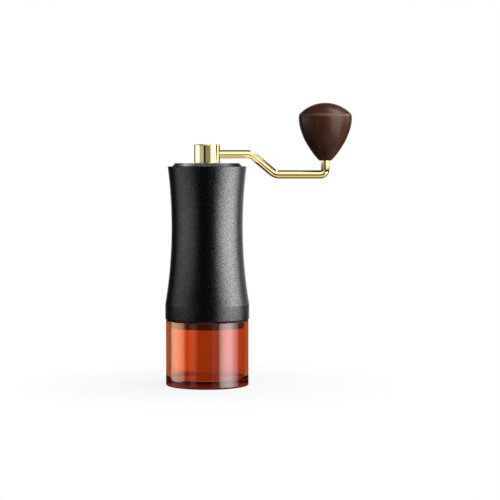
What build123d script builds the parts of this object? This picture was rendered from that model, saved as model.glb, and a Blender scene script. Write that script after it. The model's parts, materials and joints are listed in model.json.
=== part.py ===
from build123d import *
import math
import os

# Hand crank coffee grinder: millimetres, Z up from the table, the grinder's axis on Z, the crank along +X.

# Jar
JAR_RADIUS = 27.2
JAR_HEIGHT = 42.7
JAR_WALL = 2.5
JAR_BASE = 4.8
JAR_FOOT_ROUND = 1.1
JAR_FLOOR_ROUND = 2.2
SEAL_THICKNESS = 0.4

# Sleeve: straight band at the foot, then one waisted sweep up to the rim
COLLAR_RADIUS = 27.5
WAIST_RADIUS = 23.26
RIM_RADIUS = 25.75
SLEEVE_BASE = JAR_HEIGHT + SEAL_THICKNESS
BAND_TOP = 53.0
WAIST_HEIGHT = 103.5
RIM_HEIGHT = 142.8
SLEEVE_WALL = 1.8
COLLAR_ROUND = 0.7
RIM_ROUND = 0.4

# Shaft and its bearings
SHAFT_RADIUS = 3.0
HEX_FLATS = 5.2
HEX_PLAY = 0.1
THREAD_RADIUS = 2.5
BURR_HEX_BASE = 45.0
JOURNAL_BASE = 68.3
SHAFT_RECESS = 0.6
BEARING_RADIUS = 6.5
BEARING_WIDTH = 5.0
BEARING_RING = 1.2
SHIELD_THICKNESS = 0.4
SHIELD_INSET = 0.3
SHIELD_GAP = 0.15

# Burr carrier and hopper tube
NECK_RADIUS = 24.3
NECK_BASE = 38.0
NECK_BORE = 22.9
FLANGE_TOP = 47.1
CARRIER_RADIUS = 23.5
CARRIER_SHOULDER = 60.8
SOCKET_RADIUS = 22.4
SOCKET_TOP = 73.8
BURR_BORE = 19.0
BURR_BASE = 43.8
BURR_SEAT = 59.8
THROAT_RADIUS = 17.0
THROAT_TOP = 62.0
HOPPER_BASE = 70.8
HOPPER_BORE = 19.8
HOPPER_RADIUS = 21.2
FUNNEL_RADIUS = 18.8
UPPER_LEDGE = 118.8
UPPER_BORE = 20.2
LID_SEAT = 141.0
LID_SEAT_RADIUS = 22.95
SHELF_THICKNESS = 2.6

# Three-spoke bridges
BRIDGE_HEIGHT = 6.0
BRIDGE_RIM = 1.6
BRIDGE_HUB = 8.4
SPOKE_WIDTH = 4.0
SPOKE_ROOF = 1.8
SPOKE_COUNT = 3
FIRST_SPOKE = 60.0

# Burrs
CONE_BASE = 44.4
CONE_TOP = 62.4
STAGE_HEIGHT = 50.4
FINE_TEETH = 28
FINE_DEPTH = 0.8
CONE_FOOT_RADIUS = 16.0
CONE_STAGE_RADIUS = 14.1
CONE_TOP_RADIUS = 6.9
CONE_FLUTES = 7
CONE_FLUTE_DEPTH = 1.9
RING_FOOT_RADIUS = 16.5
RING_STAGE_RADIUS = 14.55
RING_TOP_RADIUS = 14.2
RING_FLUTES = 9
RING_FLUTE_DEPTH = 2.0
FINE_TWIST = 7.0
FLUTE_TWIST = 26.0
TOOTH_BACK = 0.72
SCREW_COUNT = 3
SCREW_CIRCLE = 20.4
SCREW_HEAD_RADIUS = 2.2
SCREW_HEAD_HEIGHT = 1.4
SCREW_RADIUS = 1.2
SCREW_LENGTH = 5.5

# Grind adjustment
DIAL_RADIUS = 14.5
DIAL_BASE = 38.6
DIAL_TOP = 43.8
DIAL_BOSS = 5.0
DIAL_SCALLOPS = 12
SCALLOP_RADIUS = 2.6
SCALLOP_DEPTH = 0.9
CLICK_CIRCLE = 9.5
CLICK_RADIUS = 0.8
CLICK_DEPTH = 0.35
PLUNGER_RADIUS = 1.4
PLUNGER_LENGTH = 4.5
PLUNGER_NOSE = 0.9
FACE_GAP = 0.05
WASHER_THICKNESS = 0.6
WASHER_RADIUS = 5.6
SPRING_RADIUS = 3.85
SPRING_WIRE = 1.0
SPRING_TURNS = 4

# Lid
LID_TOP = 144.85
LID_TOP_RADIUS = 21.0
LID_RADIUS = 22.8
LID_PLUG_RADIUS = 19.4
LID_PLUG_WALL = 1.5
LID_PLUG_BASE = 136.2
LID_PLATE = 2.85
LID_SEAL_WIRE = 0.6
LID_SEAL_HEIGHT = 138.6
LID_SEAL_REACH = 19.95
BUSH_RADIUS = 6.2

# Crank
HUB_RADIUS = 8.45
HUB_BASE = 145.05
HUB_TOP = 157.1
HUB_ROUND = 0.7
SPIGOT_RADIUS = 4.92
SPIGOT_BASE = 139.8
CLIP_THICKNESS = 0.8
CLIP_GROOVE = 0.6
SOCKET_DEPTH = 14.5
ARM_RADIUS = 2.75
ARM_INSET = 4.4
ARM_UPPER = 150.6
ARM_LOWER = 137.5
ARM_STEP_START = 28.6
ARM_STEP_END = 44.4
ARM_STEP_BEND = 7.0
ARM_POST_BEND = 3.1
CRANK_REACH = 76.8

# Knob
KNOB_BASE = 146.5
KNOB_BASE_RADIUS = 3.9
KNOB_RADIUS = 17.27
KNOB_WIDEST = 174.0
KNOB_SHOULDER = 176.6
KNOB_SHOULDER_RADIUS = 16.95
KNOB_TOP = 184.0
KNOB_BELLY = (14.25, 161.6)
KNOB_FLANK = (9.76, 153.7)
KNOB_BORE = 3.3
KNOB_BORE_TOP = 171.4
PIN_RADIUS = 2.0
PIN_BASE = 148.0
PIN_TOP = 170.4
PIN_PLAY = 0.06
KNOB_BUSH_TOP = 168.8

UP = (Align.CENTER, Align.CENTER, Align.MIN)


def rod(radius, bottom, top):
    """Upright round bar between two heights."""
    return Pos(0, 0, bottom) * Cylinder(radius, top - bottom, align=UP)


def tube(inner, outer, bottom, top):
    """Upright round tube between two heights."""
    return rod(outer, bottom, top) - rod(inner, bottom, top)


def hexagon(flats, bottom, top):
    """Upright hexagon bar, measured across its flats."""
    return extrude(Pos(0, 0, bottom) * RegularPolygon(flats / 2, 6, major_radius=False), top - bottom)


def turned(*outline):
    """Solid of revolution about Z from a closed outline of radius and height."""
    return revolve(Plane.XZ * make_face(outline), Axis.Z)


def around(count, radius, start=0.0):
    """Places spread evenly on a circle about Z."""
    return PolarLocations(radius, count, start_angle=start)


def round_edge(solid, radius, height, size):
    """Round the circular edge of a turned solid that has this radius and height."""
    edges = [
        edge
        for edge in solid.edges().filter_by(GeomType.CIRCLE)
        if abs(edge.radius - radius) < 0.01 and abs(edge.arc_center.Z - height) < 0.01
    ]
    return fillet(edges, size)


def snap_ring(groove_radius, outer_radius, bottom):
    """Open ring that snaps into a groove."""
    gap = Pos(outer_radius, 0, bottom) * Box(outer_radius * 2, groove_radius, CLIP_THICKNESS, align=UP)
    return tube(groove_radius, outer_radius, bottom, bottom + CLIP_THICKNESS) - gap


# Jar


def grounds_jar():
    """Clear cup with a thick base that the grinder stands on."""
    bore = JAR_RADIUS - JAR_WALL
    cup = rod(JAR_RADIUS, 0, JAR_HEIGHT) - rod(bore, JAR_BASE, JAR_HEIGHT)
    cup = round_edge(cup, JAR_RADIUS, 0, JAR_FOOT_ROUND)
    return round_edge(cup, bore, JAR_BASE, JAR_FLOOR_ROUND)


def jar_seal():
    """Flat ring between the jar's lip and the collar."""
    return tube(JAR_RADIUS - JAR_WALL, JAR_RADIUS - SEAL_THICKNESS, JAR_HEIGHT, SLEEVE_BASE)


# Body


def sleeve_radius(height):
    """Outer radius of the waisted sweep above the waist, a circular arc that is upright at the waist."""
    rise = RIM_HEIGHT - WAIST_HEIGHT
    swell = RIM_RADIUS - WAIST_RADIUS
    bend = (rise**2 + swell**2) / (2 * swell)
    return WAIST_RADIUS + bend - math.sqrt(bend**2 - (height - WAIST_HEIGHT) ** 2)


def outer_sleeve():
    """Waisted sleeve with a straight band at its foot and a seat for the lid in its rim."""
    waist = (WAIST_RADIUS, WAIST_HEIGHT)
    inner_waist = (WAIST_RADIUS - SLEEVE_WALL, WAIST_HEIGHT)
    band_top = (COLLAR_RADIUS, BAND_TOP)
    inner_band_top = (COLLAR_RADIUS - SLEEVE_WALL, BAND_TOP)
    shelf = LID_SEAT - SHELF_THICKNESS
    inner_top = (sleeve_radius(shelf) - SLEEVE_WALL, shelf)
    solid = turned(
        Line((COLLAR_RADIUS, SLEEVE_BASE), band_top),
        TangentArc(waist, band_top, tangent=(0, -1)),
        TangentArc(waist, (RIM_RADIUS, RIM_HEIGHT), tangent=(0, 1)),
        Polyline(
            (RIM_RADIUS, RIM_HEIGHT),
            (LID_SEAT_RADIUS, RIM_HEIGHT),
            (LID_SEAT_RADIUS, LID_SEAT),
            (HOPPER_RADIUS, LID_SEAT),
            (HOPPER_RADIUS, shelf),
            inner_top,
        ),
        TangentArc(inner_waist, inner_top, tangent=(0, 1)),
        TangentArc(inner_waist, inner_band_top, tangent=(0, -1)),
        Polyline(
            inner_band_top,
            (COLLAR_RADIUS - SLEEVE_WALL, SLEEVE_BASE),
            (COLLAR_RADIUS, SLEEVE_BASE),
        ),
    )
    solid = round_edge(solid, COLLAR_RADIUS, SLEEVE_BASE, COLLAR_ROUND)
    return round_edge(solid, RIM_RADIUS, RIM_HEIGHT, RIM_ROUND)


def screw_places():
    """Places of the screws that clamp the ring burr."""
    return around(SCREW_COUNT, SCREW_CIRCLE)


def burr_carrier():
    """Neck that the jar screws on, flange under the sleeve, seat of the ring burr and funnel above it."""
    flange = COLLAR_RADIUS - SLEEVE_WALL
    solid = turned(
        Polyline(
            (NECK_BORE, NECK_BASE),
            (NECK_RADIUS, NECK_BASE),
            (NECK_RADIUS, SLEEVE_BASE),
            (flange, SLEEVE_BASE),
            (flange, FLANGE_TOP),
            (CARRIER_RADIUS, FLANGE_TOP),
            (CARRIER_RADIUS, CARRIER_SHOULDER),
            (SOCKET_RADIUS, CARRIER_SHOULDER + 2 * (CARRIER_RADIUS - SOCKET_RADIUS)),
            (SOCKET_RADIUS, SOCKET_TOP),
            (HOPPER_RADIUS, SOCKET_TOP),
            (HOPPER_RADIUS, HOPPER_BASE),
            (FUNNEL_RADIUS, HOPPER_BASE),
            (THROAT_RADIUS, THROAT_TOP),
            (THROAT_RADIUS, BURR_SEAT),
            (BURR_BORE, BURR_SEAT),
            (BURR_BORE, BURR_BASE),
            (NECK_BORE, BURR_BASE),
            close=True,
        )
    )
    return solid - screw_places() * rod(SCREW_RADIUS, BURR_BASE, BURR_BASE + SCREW_LENGTH)


def hopper_tube():
    """Thin tube that holds the beans, with a ledge for the upper bridge."""
    bore = rod(HOPPER_BORE, HOPPER_BASE, UPPER_LEDGE) + rod(UPPER_BORE, UPPER_LEDGE, LID_SEAT)
    return rod(HOPPER_RADIUS, HOPPER_BASE, LID_SEAT) - bore


def bridge(radius, floor, bearing_floor):
    """Rim, hub and roofed spokes that carry a bearing and let the beans pass."""
    top = floor + BRIDGE_HEIGHT
    eaves = top - SPOKE_ROOF
    section = Polyline(
        (-SPOKE_WIDTH / 2, floor),
        (SPOKE_WIDTH / 2, floor),
        (SPOKE_WIDTH / 2, eaves),
        (0, top),
        (-SPOKE_WIDTH / 2, eaves),
        close=True,
    )
    spoke = extrude(Plane.YZ * make_face(section), radius - BRIDGE_RIM / 2)
    solid = tube(radius - BRIDGE_RIM, radius, floor, top) + rod(BRIDGE_HUB, floor, top)
    for place in around(SPOKE_COUNT, 0, FIRST_SPOKE):
        solid += place * spoke
    solid -= rod(BEARING_RADIUS, bearing_floor, bearing_floor + BEARING_WIDTH)
    return solid - rod(BEARING_RADIUS - BEARING_RING / 2, floor, top)


LOWER_BEARING = HOPPER_BASE
UPPER_BEARING = UPPER_LEDGE + BRIDGE_HEIGHT - BEARING_WIDTH


def lower_bridge():
    """Bridge over the burrs, its bearing let in from below."""
    return bridge(HOPPER_BORE, HOPPER_BASE, LOWER_BEARING)


def upper_bridge():
    """Bridge under the lid, its bearing let in from above."""
    return bridge(UPPER_BORE, UPPER_LEDGE, UPPER_BEARING)


def bearing_outer(floor):
    """Outer ring of a ball bearing with its two shields."""
    inner = BEARING_RADIUS - BEARING_RING
    reach = SHAFT_RADIUS + BEARING_RING + SHIELD_GAP
    top = floor + BEARING_WIDTH
    solid = tube(inner, BEARING_RADIUS, floor, top)
    for bottom in (floor + SHIELD_INSET, top - SHIELD_INSET - SHIELD_THICKNESS):
        solid += tube(reach, inner, bottom, bottom + SHIELD_THICKNESS)
    return solid


def bearing_inner(floor):
    """Inner ring of a ball bearing."""
    return tube(SHAFT_RADIUS, SHAFT_RADIUS + BEARING_RING, floor, floor + BEARING_WIDTH)


# Burrs


def toothed(height, tip, root, count, turn):
    """Saw-tooth section at a height, turned about Z: each tooth has a long back and a steep face."""
    pitch = 2 * math.pi / count
    points = []
    for index in range(count):
        valley = index * pitch + math.radians(turn)
        crest = valley + TOOTH_BACK * pitch
        points.append((root * math.cos(valley), root * math.sin(valley)))
        points.append((tip * math.cos(crest), tip * math.sin(crest)))
    return Pos(0, 0, height) * make_face(Polyline(*points, close=True))


def fluted(stations, depth, count, twist):
    """Cone of slanting teeth through its stations of height and tip radius."""
    foot = stations[0][0]
    rise = stations[-1][0] - foot
    sections = [
        toothed(height, tip, tip - depth, count, twist * (height - foot) / rise)
        for height, tip in stations
    ]
    return loft(sections, ruled=True)


def cone_burr():
    """Turning burr: coarse flutes that draw the beans down, then a ring of fine teeth."""
    middle = (STAGE_HEIGHT + CONE_TOP) / 2
    middle_radius = (CONE_STAGE_RADIUS + CONE_TOP_RADIUS) / 2
    fine = fluted(
        [(CONE_BASE, CONE_FOOT_RADIUS), (STAGE_HEIGHT, CONE_STAGE_RADIUS)],
        FINE_DEPTH,
        FINE_TEETH,
        FINE_TWIST,
    )
    coarse = fluted(
        [(STAGE_HEIGHT, CONE_STAGE_RADIUS), (middle, middle_radius), (CONE_TOP, CONE_TOP_RADIUS)],
        CONE_FLUTE_DEPTH,
        CONE_FLUTES,
        2 * FLUTE_TWIST,
    )
    solid = fine + coarse - hexagon(HEX_FLATS + HEX_PLAY, CONE_BASE, CONE_TOP)
    return solid - plunger_places() * rod(PLUNGER_RADIUS, CONE_BASE, CONE_BASE + PLUNGER_LENGTH)


def ring_burr():
    """Fixed burr: a ring whose bore has coarse flutes above and fine teeth below."""
    fine_root = RING_FOOT_RADIUS + FINE_DEPTH
    fine = fluted(
        [(BURR_BASE, fine_root), (STAGE_HEIGHT, RING_STAGE_RADIUS + FINE_DEPTH)],
        FINE_DEPTH,
        FINE_TEETH,
        -FINE_TWIST,
    )
    coarse = fluted(
        [
            (STAGE_HEIGHT, RING_STAGE_RADIUS + RING_FLUTE_DEPTH),
            (BURR_SEAT, RING_TOP_RADIUS + RING_FLUTE_DEPTH),
        ],
        RING_FLUTE_DEPTH,
        RING_FLUTES,
        -FLUTE_TWIST / 2,
    )
    return rod(BURR_BORE, BURR_BASE, BURR_SEAT) - fine - coarse


def burr_screws():
    """Screws whose heads clamp the rim of the ring burr."""
    head = rod(SCREW_HEAD_RADIUS, BURR_BASE - SCREW_HEAD_HEIGHT, BURR_BASE)
    screw = head + rod(SCREW_RADIUS, BURR_BASE, BURR_BASE + SCREW_LENGTH)
    return Part() + screw_places() * screw


# Shaft


def drive_shaft():
    """Thread end, burr hexagon, round journal and crank hexagon, in one bar."""
    clip = UPPER_BEARING + BEARING_WIDTH
    journal_top = clip + 2 * CLIP_THICKNESS
    solid = rod(THREAD_RADIUS, DIAL_BASE + SHAFT_RECESS, BURR_HEX_BASE)
    solid += hexagon(HEX_FLATS, BURR_HEX_BASE, JOURNAL_BASE)
    solid += rod(SHAFT_RADIUS, JOURNAL_BASE, journal_top)
    solid += hexagon(HEX_FLATS, journal_top, SPIGOT_BASE + SOCKET_DEPTH - SHAFT_RECESS)
    return solid - tube(SHAFT_RADIUS - CLIP_GROOVE, BEARING_RADIUS, clip, clip + CLIP_THICKNESS)


def shaft_clip():
    """Ring that rests on the upper bearing and holds the shaft up."""
    groove = SHAFT_RADIUS - CLIP_GROOVE
    return snap_ring(groove, SHAFT_RADIUS + BEARING_RING, UPPER_BEARING + BEARING_WIDTH)


# Grind adjustment


def plunger_places():
    """Places of the click plungers in the foot of the cone burr."""
    return around(2, CLICK_CIRCLE)


def click_plungers():
    """Ball-nosed plungers that click over the dial."""
    nose = DIAL_TOP + 2 * FACE_GAP
    ball = Pos(0, 0, nose + PLUNGER_NOSE) * Sphere(PLUNGER_NOSE)
    plunger = ball + rod(PLUNGER_RADIUS, CONE_BASE, CONE_BASE + PLUNGER_LENGTH)
    return Part() + plunger_places() * plunger


def adjusting_dial():
    """Scalloped nut under the cone burr, with a boss that lifts the burr and a ring of click dimples."""
    solid = rod(DIAL_RADIUS, DIAL_BASE, DIAL_TOP) + rod(DIAL_BOSS, DIAL_TOP, CONE_BASE - FACE_GAP)
    scallop = rod(SCALLOP_RADIUS, DIAL_BASE, DIAL_TOP)
    solid -= around(DIAL_SCALLOPS, DIAL_RADIUS + SCALLOP_RADIUS - SCALLOP_DEPTH) * scallop
    solid -= around(DIAL_SCALLOPS, CLICK_CIRCLE) * rod(CLICK_RADIUS, DIAL_TOP - CLICK_DEPTH, DIAL_TOP)
    return solid - rod(THREAD_RADIUS + FACE_GAP, DIAL_BASE, CONE_BASE)


def spring_washer():
    """Washer on top of the cone burr that the spring pushes on."""
    return tube(SHAFT_RADIUS + HEX_PLAY, WASHER_RADIUS, CONE_TOP, CONE_TOP + WASHER_THICKNESS)


def biarc(start, start_way, end, end_way):
    """Two arcs, tangent to each other, from one point and direction to another."""
    chord = end - start
    ways = start_way + end_way
    square = 2 * (start_way.dot(end_way) - 1)
    linear = -2 * chord.dot(ways)
    arm = (-linear - math.sqrt(linear**2 - 4 * square * chord.dot(chord))) / (2 * square)
    first_corner = start + start_way * arm
    second_corner = end - end_way * arm
    middle = (first_corner + second_corner) * 0.5
    return [
        TangentArc(start, middle, tangent=start_way),
        TangentArc(middle, end, tangent=second_corner - first_corner),
    ]


def spring_point(turn):
    """Point of the spring's centre line after a number of turns from its foot."""
    foot = CONE_TOP + WASHER_THICKNESS + SPRING_WIRE / 2 + FACE_GAP
    head = LOWER_BEARING - SPRING_WIRE / 2 - FACE_GAP
    angle = 2 * math.pi * turn
    height = foot + (head - foot) * turn / SPRING_TURNS
    return Vector(SPRING_RADIUS * math.cos(angle), SPRING_RADIUS * math.sin(angle), height)


def spring_way(turn):
    """Direction of the spring's centre line after a number of turns."""
    step = 1e-4
    return (spring_point(turn + step) - spring_point(turn - step)).normalized()


def burr_spring():
    """Helical spring in one unbroken wire, as arcs of an eighth turn."""
    quarters = [index / 4 for index in range(4 * SPRING_TURNS + 1)]
    edges = []
    for start, end in zip(quarters, quarters[1:]):
        edges += biarc(spring_point(start), spring_way(start), spring_point(end), spring_way(end))
    path = Wire(edges)
    wire = sweep(Plane(path @ 0, z_dir=path % 0) * Circle(SPRING_WIRE / 2), path=path)
    print("spring: least gap between turns", round(spring_gap(), 3), "mm")
    return wire


def spring_gap():
    """Least clear gap between turns, measured on points of the centre line at least half a turn apart."""
    steps = 36
    samples = [spring_point(index / steps) for index in range(steps * SPRING_TURNS + 1)]
    distances = [
        (first - second).length
        for index, first in enumerate(samples)
        for second in samples[index + steps // 2 :]
    ]
    return min(distances) - SPRING_WIRE


# Lid


def lid():
    """Bevelled disc let into the rim, with a hollow plug that reaches into the hopper."""
    plate = LID_TOP - LID_PLATE
    seat = LID_SEAT + 2 * FACE_GAP
    plug_bore = LID_PLUG_RADIUS - LID_PLUG_WALL
    solid = turned(
        Polyline(
            (BUSH_RADIUS, LID_TOP),
            (LID_TOP_RADIUS, LID_TOP),
            (LID_RADIUS, RIM_HEIGHT),
            (LID_RADIUS, seat),
            (LID_PLUG_RADIUS, seat),
            (LID_PLUG_RADIUS, LID_PLUG_BASE),
            (plug_bore, LID_PLUG_BASE),
            (plug_bore, plate),
            (BUSH_RADIUS, plate),
            close=True,
        )
    )
    groove = LID_SEAL_REACH - 2 * LID_SEAL_WIRE
    low = LID_SEAL_HEIGHT - LID_SEAL_WIRE
    high = LID_SEAL_HEIGHT + LID_SEAL_WIRE
    return solid - tube(groove, LID_PLUG_RADIUS, low, high)


def lid_seal():
    """Rubber ring in the plug's groove, which grips the hopper."""
    return Pos(0, 0, LID_SEAL_HEIGHT) * Torus(LID_SEAL_REACH - LID_SEAL_WIRE, LID_SEAL_WIRE)


def lid_bush():
    """Plain bush in the lid that the crank's spigot turns in."""
    return tube(SPIGOT_RADIUS + 2 * FACE_GAP, BUSH_RADIUS, LID_TOP - LID_PLATE, LID_TOP)


# Crank


def hub_clip():
    """Ring on the spigot that keeps the lid on the crank."""
    bottom = LID_TOP - LID_PLATE - CLIP_THICKNESS - 2 * FACE_GAP
    return snap_ring(SPIGOT_RADIUS - CLIP_GROOVE, BUSH_RADIUS + CLIP_GROOVE, bottom)


def crank_hub():
    """Polished cylinder with a spigot through the lid and a hexagon socket for the shaft."""
    solid = rod(HUB_RADIUS, HUB_BASE, HUB_TOP)
    solid = round_edge(solid, HUB_RADIUS, HUB_TOP, HUB_ROUND)
    solid += rod(SPIGOT_RADIUS, SPIGOT_BASE, HUB_BASE)
    solid -= hexagon(HEX_FLATS + HEX_PLAY, SPIGOT_BASE, SPIGOT_BASE + SOCKET_DEPTH)
    bottom = LID_TOP - LID_PLATE - CLIP_THICKNESS - 2 * FACE_GAP
    solid -= tube(SPIGOT_RADIUS - CLIP_GROOVE, BUSH_RADIUS, bottom, bottom + CLIP_THICKNESS)
    arm_bore = Pos(ARM_INSET, 0, ARM_UPPER) * Rot(0, 90, 0) * Cylinder(ARM_RADIUS, HUB_RADIUS, align=UP)
    return solid - arm_bore


def crank_arm():
    """Bent bar: out of the hub, down a step, out again and up into the pin of the knob."""
    path = FilletPolyline(
        (ARM_INSET, 0, ARM_UPPER),
        (ARM_STEP_START, 0, ARM_UPPER),
        (ARM_STEP_END, 0, ARM_LOWER),
        (CRANK_REACH, 0, ARM_LOWER),
        (CRANK_REACH, 0, PIN_BASE),
        radius=[ARM_STEP_BEND, ARM_STEP_BEND, ARM_POST_BEND],
    )
    bar = sweep(Plane(path @ 0, z_dir=path % 0) * Circle(ARM_RADIUS), path=path)
    pin = rod(PIN_RADIUS, PIN_BASE, PIN_TOP)
    groove = PIN_RADIUS - CLIP_GROOVE / 2
    low = KNOB_BUSH_TOP + 2 * FACE_GAP
    pin -= tube(groove, KNOB_BORE, low, low + CLIP_THICKNESS)
    return bar + Pos(CRANK_REACH, 0, 0) * pin


# Knob


def knob():
    """Turned wooden knob: domed top, crisp shoulder and a belly that tapers to the post."""
    widest = (KNOB_RADIUS, KNOB_WIDEST)
    shoulder = (KNOB_SHOULDER_RADIUS, KNOB_SHOULDER)
    foot = (KNOB_BASE_RADIUS, KNOB_BASE)
    solid = turned(
        Polyline((0, KNOB_TOP), (0, KNOB_BASE), foot),
        Spline(foot, KNOB_FLANK, KNOB_BELLY, widest, tangents=[(0.72, 0.69), (0, 1)]),
        TangentArc(widest, shoulder, tangent=(0, 1)),
        TangentArc((0, KNOB_TOP), shoulder, tangent=(1, 0)),
    )
    return Pos(CRANK_REACH, 0, 0) * (solid - rod(KNOB_BORE, KNOB_BASE, KNOB_BORE_TOP))


def knob_bush():
    """Metal bush pressed into the knob."""
    bottom = PIN_BASE + FACE_GAP
    return Pos(CRANK_REACH, 0, 0) * tube(PIN_RADIUS + PIN_PLAY, KNOB_BORE, bottom, KNOB_BUSH_TOP)


def knob_clip():
    """Ring at the end of the pin that keeps the knob on."""
    low = KNOB_BUSH_TOP + 2 * FACE_GAP
    groove = PIN_RADIUS - CLIP_GROOVE / 2
    return Pos(CRANK_REACH, 0, 0) * snap_ring(groove, KNOB_BORE - CLIP_GROOVE / 2, low)


NODES = {
    "grounds_jar": grounds_jar(),
    "jar_seal": jar_seal(),
    "outer_sleeve": outer_sleeve(),
    "burr_carrier": burr_carrier(),
    "hopper_tube": hopper_tube(),
    "lower_bridge": lower_bridge(),
    "upper_bridge": upper_bridge(),
    "lower_bearing_outer": bearing_outer(LOWER_BEARING),
    "lower_bearing_inner": bearing_inner(LOWER_BEARING),
    "upper_bearing_outer": bearing_outer(UPPER_BEARING),
    "upper_bearing_inner": bearing_inner(UPPER_BEARING),
    "ring_burr": ring_burr(),
    "burr_screws": burr_screws(),
    "cone_burr": cone_burr(),
    "drive_shaft": drive_shaft(),
    "shaft_clip": shaft_clip(),
    "burr_spring": burr_spring(),
    "spring_washer": spring_washer(),
    "click_plungers": click_plungers(),
    "adjusting_dial": adjusting_dial(),
    "lid": lid(),
    "lid_seal": lid_seal(),
    "lid_bush": lid_bush(),
    "hub_clip": hub_clip(),
    "crank_hub": crank_hub(),
    "crank_arm": crank_arm(),
    "knob": knob(),
    "knob_bush": knob_bush(),
    "knob_clip": knob_clip(),
}

os.makedirs("parts", exist_ok=True)
for name, solid in NODES.items():
    export_step(solid, f"parts/{name}.step")
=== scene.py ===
"""Dressed model of a hand crank coffee grinder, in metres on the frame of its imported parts.

The grinder stands on a clear amber jar. A waisted black body rises from the jar to a let-in lid, and a gold
crank with a wooden knob turns in the lid. Pieces that show are modelled here at the size of their solids,
and the inner pieces keep their solids and get their finish.
"""
import json
import logging
import math
from collections.abc import Sequence
from dataclasses import dataclass
from enum import Enum

import bpy
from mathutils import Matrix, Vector


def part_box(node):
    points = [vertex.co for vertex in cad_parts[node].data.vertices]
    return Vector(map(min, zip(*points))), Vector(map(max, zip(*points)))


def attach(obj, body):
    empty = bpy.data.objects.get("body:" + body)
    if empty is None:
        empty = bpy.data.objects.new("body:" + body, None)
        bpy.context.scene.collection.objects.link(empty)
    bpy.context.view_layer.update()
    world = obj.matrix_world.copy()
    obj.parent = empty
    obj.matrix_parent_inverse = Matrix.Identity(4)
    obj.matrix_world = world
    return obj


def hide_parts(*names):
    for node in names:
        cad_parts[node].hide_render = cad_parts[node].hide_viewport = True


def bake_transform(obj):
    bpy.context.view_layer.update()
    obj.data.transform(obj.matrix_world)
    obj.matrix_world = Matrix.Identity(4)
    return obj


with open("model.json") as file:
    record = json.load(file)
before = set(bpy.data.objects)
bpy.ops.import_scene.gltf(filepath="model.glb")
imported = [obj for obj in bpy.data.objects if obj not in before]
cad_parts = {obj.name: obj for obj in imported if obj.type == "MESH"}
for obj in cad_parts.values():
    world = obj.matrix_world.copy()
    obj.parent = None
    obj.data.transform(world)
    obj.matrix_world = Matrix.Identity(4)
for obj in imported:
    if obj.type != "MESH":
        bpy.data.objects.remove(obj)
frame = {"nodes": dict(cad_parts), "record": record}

log = logging.getLogger("grinder")
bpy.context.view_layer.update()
FULL_TURN = 2 * math.pi
MERGE = 2e-7
SMOOTH_ANGLE = math.radians(32)
STRAIGHT = math.pi - 1e-4
RING_STEPS = 96

Point = tuple[float, float]
Place = tuple[float, float, float]
Colour = tuple[float, float, float]
Object = bpy.types.Object

# Pieces that a lamp lights alone or spares
BAR = ("crank_bar",)
HUB = ("crank_hub_turned",)
JAR = ("jar_clear",)
KNOB = ("knob_turned",)
LID = ("lid_disc",)
SLEEVE = ("body_sleeve",)

# Bottom and top of lamps that stand at the same height
FOOT_BAND = (-0.090, 0.018)
JAR_BAND = (-0.012, 0.060)
LOW_BAND = (0.0, 0.134)
HUB_BAND = (0.140, 0.166)
SLEEVE_BAND = (-0.040, 0.230)
BACK_BAND = (0.220, 0.750)
TOP_SPAN = (0.650, 1.150)

# Tones of lamps and shaders
BLACK = (0.0, 0.0, 0.0)
WHITE = (1.0, 1.0, 1.0)
CREAM = (1.0, 0.95, 0.82)
WARM = (1.0, 0.90, 0.80)
PEACH = (1.0, 0.87, 0.72)
YELLOW = (1.0, 0.93, 0.62)
ORANGE = (1.0, 0.72, 0.47)


# Outlines


@dataclass(frozen=True)
class Corner:
    """Corner of an outline, by its distance from the axis, its height and how far it is rounded."""

    radius: float
    height: float
    rounding: float = 0.0

    def point(self) -> Vector:
        """Give the corner as a flat vector."""
        return Vector((self.radius, self.height))


def round_corner(before: Vector, corner: Corner, after: Vector, steps: int) -> list[Point]:
    """Give the points of one rounded corner.

    Args:
        before: The outline's point ahead of the corner.
        corner: The corner itself.
        after: The outline's point past the corner.
        steps: How many steps its arc has.

    Returns:
        Points of radius and height along the arc, or the corner alone where it is sharp.
    """
    tip = corner.point()
    into = (before - tip).normalized()
    out = (after - tip).normalized()
    opening = into.angle(out)
    if corner.rounding <= 0 or opening > STRAIGHT:
        return [(tip.x, tip.y)]
    setback = corner.rounding / math.tan(opening / 2)
    centre = tip + (into + out).normalized() * (corner.rounding / math.sin(opening / 2))
    start = tip + into * setback - centre
    end = tip + out * setback - centre
    sweep = math.pi - opening
    points = []
    for step in range(steps + 1):
        share = step / steps
        arm = (start * math.sin((1 - share) * sweep) + end * math.sin(share * sweep)) / math.sin(sweep)
        points.append((centre.x + arm.x, centre.y + arm.y))
    return points


def outline(corners: Sequence[Corner], steps: int = 6) -> list[Point]:
    """Give an outline's points, with its rounded corners worked out.

    Args:
        corners: The corners in order. The first and last stay sharp.
        steps: How many steps each rounded corner has.

    Returns:
        Points of radius and height.
    """
    points = [(corners[0].radius, corners[0].height)]
    for before, corner, after in zip(corners, corners[1:], corners[2:]):
        points += round_corner(before.point(), corner, after.point(), steps)
    return points + [(corners[-1].radius, corners[-1].height)]


def waisted(waist: Point, end: Point, steps: int) -> list[Point]:
    """Give the points of a circular arc that is upright at its waist and swells or leans in from there.

    Args:
        waist: Radius and height of the waist.
        end: Radius and height where the arc ends.
        steps: How many steps it has.

    Returns:
        Points from the waist to the end.
    """
    swell = end[0] - waist[0]
    rise = end[1] - waist[1]
    bend = (rise**2 + swell**2) / (2 * swell)
    points = []
    for step in range(steps + 1):
        climb = rise * step / steps
        swing = bend - math.copysign(math.sqrt(bend**2 - climb**2), bend)
        points.append((waist[0] + swing, waist[1] + climb))
    return points


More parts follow.
